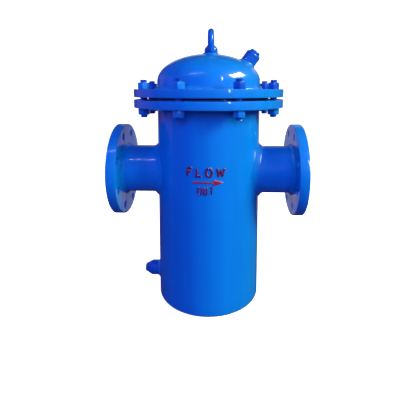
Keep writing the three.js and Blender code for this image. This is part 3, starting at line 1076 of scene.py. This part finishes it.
def arrow_head(tail, tip, z, half, rise):
    """Solid triangular head wrapped on the shell, with a domed top."""
    rings = []
    for t in np.linspace(0, 1, 13):
        x = tail + (tip - tail) * t
        width = max(half * (1 - t), 0.25)
        ring = []
        for a in np.linspace(0, math.pi, 15):
            lift = rise * min(1.0, width / 2.4) * (math.sin(a) ** 0.45 if math.sin(a) > 1e-6 else 0.0)
            ring.append(on_shell(x, z + width * math.cos(a), lift))
        ring.append(on_shell(x, z, -1.0))
        rings.append(ring)
    caps = [[on_shell(tail - 0.2, z, rise * 0.5)], [on_shell(tip, z, 0.1)]]
    return make("arrow_head", *loft([caps[0], *rings, caps[1]]), sharp=50.0)


def marking():
    low, high = corners("flow_arrow")
    z = (low.z + high.z) / 2
    half = (high.z - low.z) / 2
    tail, barb, tip = -30.0, 17.0, 38.0
    pieces = [stroke("arrow_shaft", [(tail, z), (barb + 3, z)], 4.2, 1), arrow_head(barb, tip, z, half, 2.6)]
    fit(join_pieces("flow_arrow_bead", pieces), RED, "vessel", "marking_red", "flow_arrow")
    word("flow_word", "FLOW", left=-42, right=39, bottom=322, top=340, width=5.2, seed=20)
    word("out_word", "OUT", left=-18, right=16, bottom=282, top=298.5, width=3.6, seed=60, narrow=0.66)


# ---------------------------------------------------------------- stage and light
def stage():
    flat_r, bend_r, drop = 2200, 1200, -0.2
    outline = [(0, drop), (flat_r, drop), *arc(flat_r, bend_r, bend_r, bend_r, -90, 0, 16)]
    outline += [(flat_r + bend_r, 4000)]
    floor = lathe("floor", outline, 96, closed=False)
    floor.data.materials.append(plain_stage("pale_floor", (0.86, 0.86, 0.86)))
    floor.visible_glossy = False
    floor.visible_diffuse = False


def area_light(name, azimuth, height, distance, size, power, tone=(1, 1, 1), roll=0.0,
               seen=True, lights_matt=True):
    """Rectangle aimed at the strainer. The azimuth goes from the front towards the outlet, in degrees."""
    data = bpy.data.lights.new(name, "AREA")
    data.shape = "RECTANGLE"
    data.size, data.size_y = size
    data.energy = power
    data.color = tone
    lamp = bpy.data.objects.new(name, data)
    a = math.radians(azimuth)
    target = Vector((0, 0, 0.4))
    lamp.location = Vector((math.sin(a) * distance, -math.cos(a) * distance, height))
    aimed = (target - lamp.location).to_track_quat("-Z", "Y").to_matrix()
    lamp.rotation_euler = (aimed @ Matrix.Rotation(math.radians(roll), 3, "Z")).to_euler()
    lamp.visible_camera = False
    lamp.visible_glossy = seen
    lamp.visible_diffuse = lights_matt
    scene.collection.objects.link(lamp)


def lights():
    world = bpy.data.worlds.new("studio")
    scene.world = world
    world.use_nodes = True
    background = world.node_tree.nodes["Background"]
    background.inputs["Color"].default_value = colour(0.40, 0.20, 1.0)
    background.inputs["Strength"].default_value = 0.09
    area_light("key", 69, 1.5, 2.8, (1.0, 1.0), 116, (0.75, 1.0, 0.78), seen=False)
    area_light("front", 2, 1.2, 2.6, (1.8, 1.2), 64, (0.48, 0.38, 1.0), seen=False)
    area_light("left_fill", -60, 1.0, 1.9, (1.2, 1.2), 12, (0.5, 0.24, 1.0), seen=False)
    area_light("top", 25, 2.3, 0.5, (1.0, 1.0), 7, (0.5, 1.0, 0.75), seen=False)
    area_light("back_left", 222, 1.0, 1.9, (1.4, 1.0), 22, (0.62, 0.62, 1.0), seen=False)
    area_light("back_right", 140, 1.1, 1.9, (1.2, 1.0), 26, (0.80, 0.95, 0.90), seen=False)
    area_light("window", 71.5, 1.46, 1.6, (1.16, 0.58), 68, roll=14, lights_matt=False)
    area_light("doorway", 31.0, 1.0, 1.9, (0.08, 0.75), 4.4, lights_matt=False)
    area_light("strip", -29, 1.7, 1.2, (1.0, 0.012), 2.4, roll=20, lights_matt=False)
    area_light("left_card", -106, 0.5, 2.0, (1.8, 1.6), 1.7, (1.0, 0.35, 0.60), lights_matt=False)
    area_light("back_card", 180, -0.1, 2.2, (2.8, 1.2), 3.9, (0.82, 0.80, 1.0), lights_matt=False)
    area_light("back_rim", 172, 1.35, 2.2, (2.6, 0.5), 2.6, (0.75, 0.9, 1.0), lights_matt=False)


# ---------------------------------------------------------------- assembly
camera()
vessel_shell()
bottom_plate()
for node, side in (("inlet", -1), ("outlet", 1)):
    nozzle(node + "_nozzle", side)
    pipe_flange(node + "_flange", side)
    bead(node + "_branch_weld", "vessel", branch_stations(NOZZLE_R, side, NOZZLE_Z, 620), 10.0, 3 + side,
         bulge=2.3, uneven=0.03)
    back = side * FLANGE_LOW.x
    flange_root = [((back, NOZZLE_R * math.cos(a), NOZZLE_Z + NOZZLE_R * math.sin(a)), (-side, 0, 0),
                    (0, math.cos(a), math.sin(a))) for a in np.linspace(0, TAU, 560, endpoint=False)]
    bead(node + "_flange_weld", "vessel", flange_root, 6.0, 8 + side, bulge=2.1, uneven=0.04)
cover_joint_flange("body_flange", "vessel", False)
gasket()
bead("body_flange_weld", "vessel", ring_stations(SHELL_R, BODY_FLANGE_LOW.z, (0, 0, -1), 1150), 7.5, 21)
cover_joint_flange("cover_flange", "cover", True)
cover_dome()
bead("cover_weld", "cover", ring_stations(SHELL_R, COVER_FLANGE_TOP, (0, 0, 1), 1150), 7.0, 22)
lifting_pad()
lifting_eye()
eye_nut()
cover_bolting()
drain_at, drain_axis = fitting_place("drain_plug_turn")
vent_at, vent_axis = fitting_place("vent_plug_turn")
fitting("drain", "vessel", DRAIN, drain_at, drain_axis)
fitting("vent", "cover", VENT, vent_at, vent_axis)
bead("drain_weld", "vessel", branch_stations(SOCKET_R, -1, drain_at.z, 220), 5.5, 31, bulge=2.2, pitch=2.6)
bead("vent_weld", "cover", dome_stations(SOCKET_R, vent_at, vent_axis, 220), 4.0, 32, bulge=2.2, pitch=2.6)
pad_low, pad_high = corners("lifting_pad")
pad_x, pad_r = node_centre("lifting_pad")[0], (pad_high.x - pad_low.x) / 2
bead("pad_weld", "cover", dome_stations(pad_r, (pad_x, 0, pad_low.z), (0, 0, 1), 240), 3.0, 33, pitch=2.4)
basket()
for node in ("basket_ear_front", "basket_ear_back"):
    basket_ear(node)
basket_bail()
marking()
stage()
lights()
scene.view_settings.view_transform = "Standard"
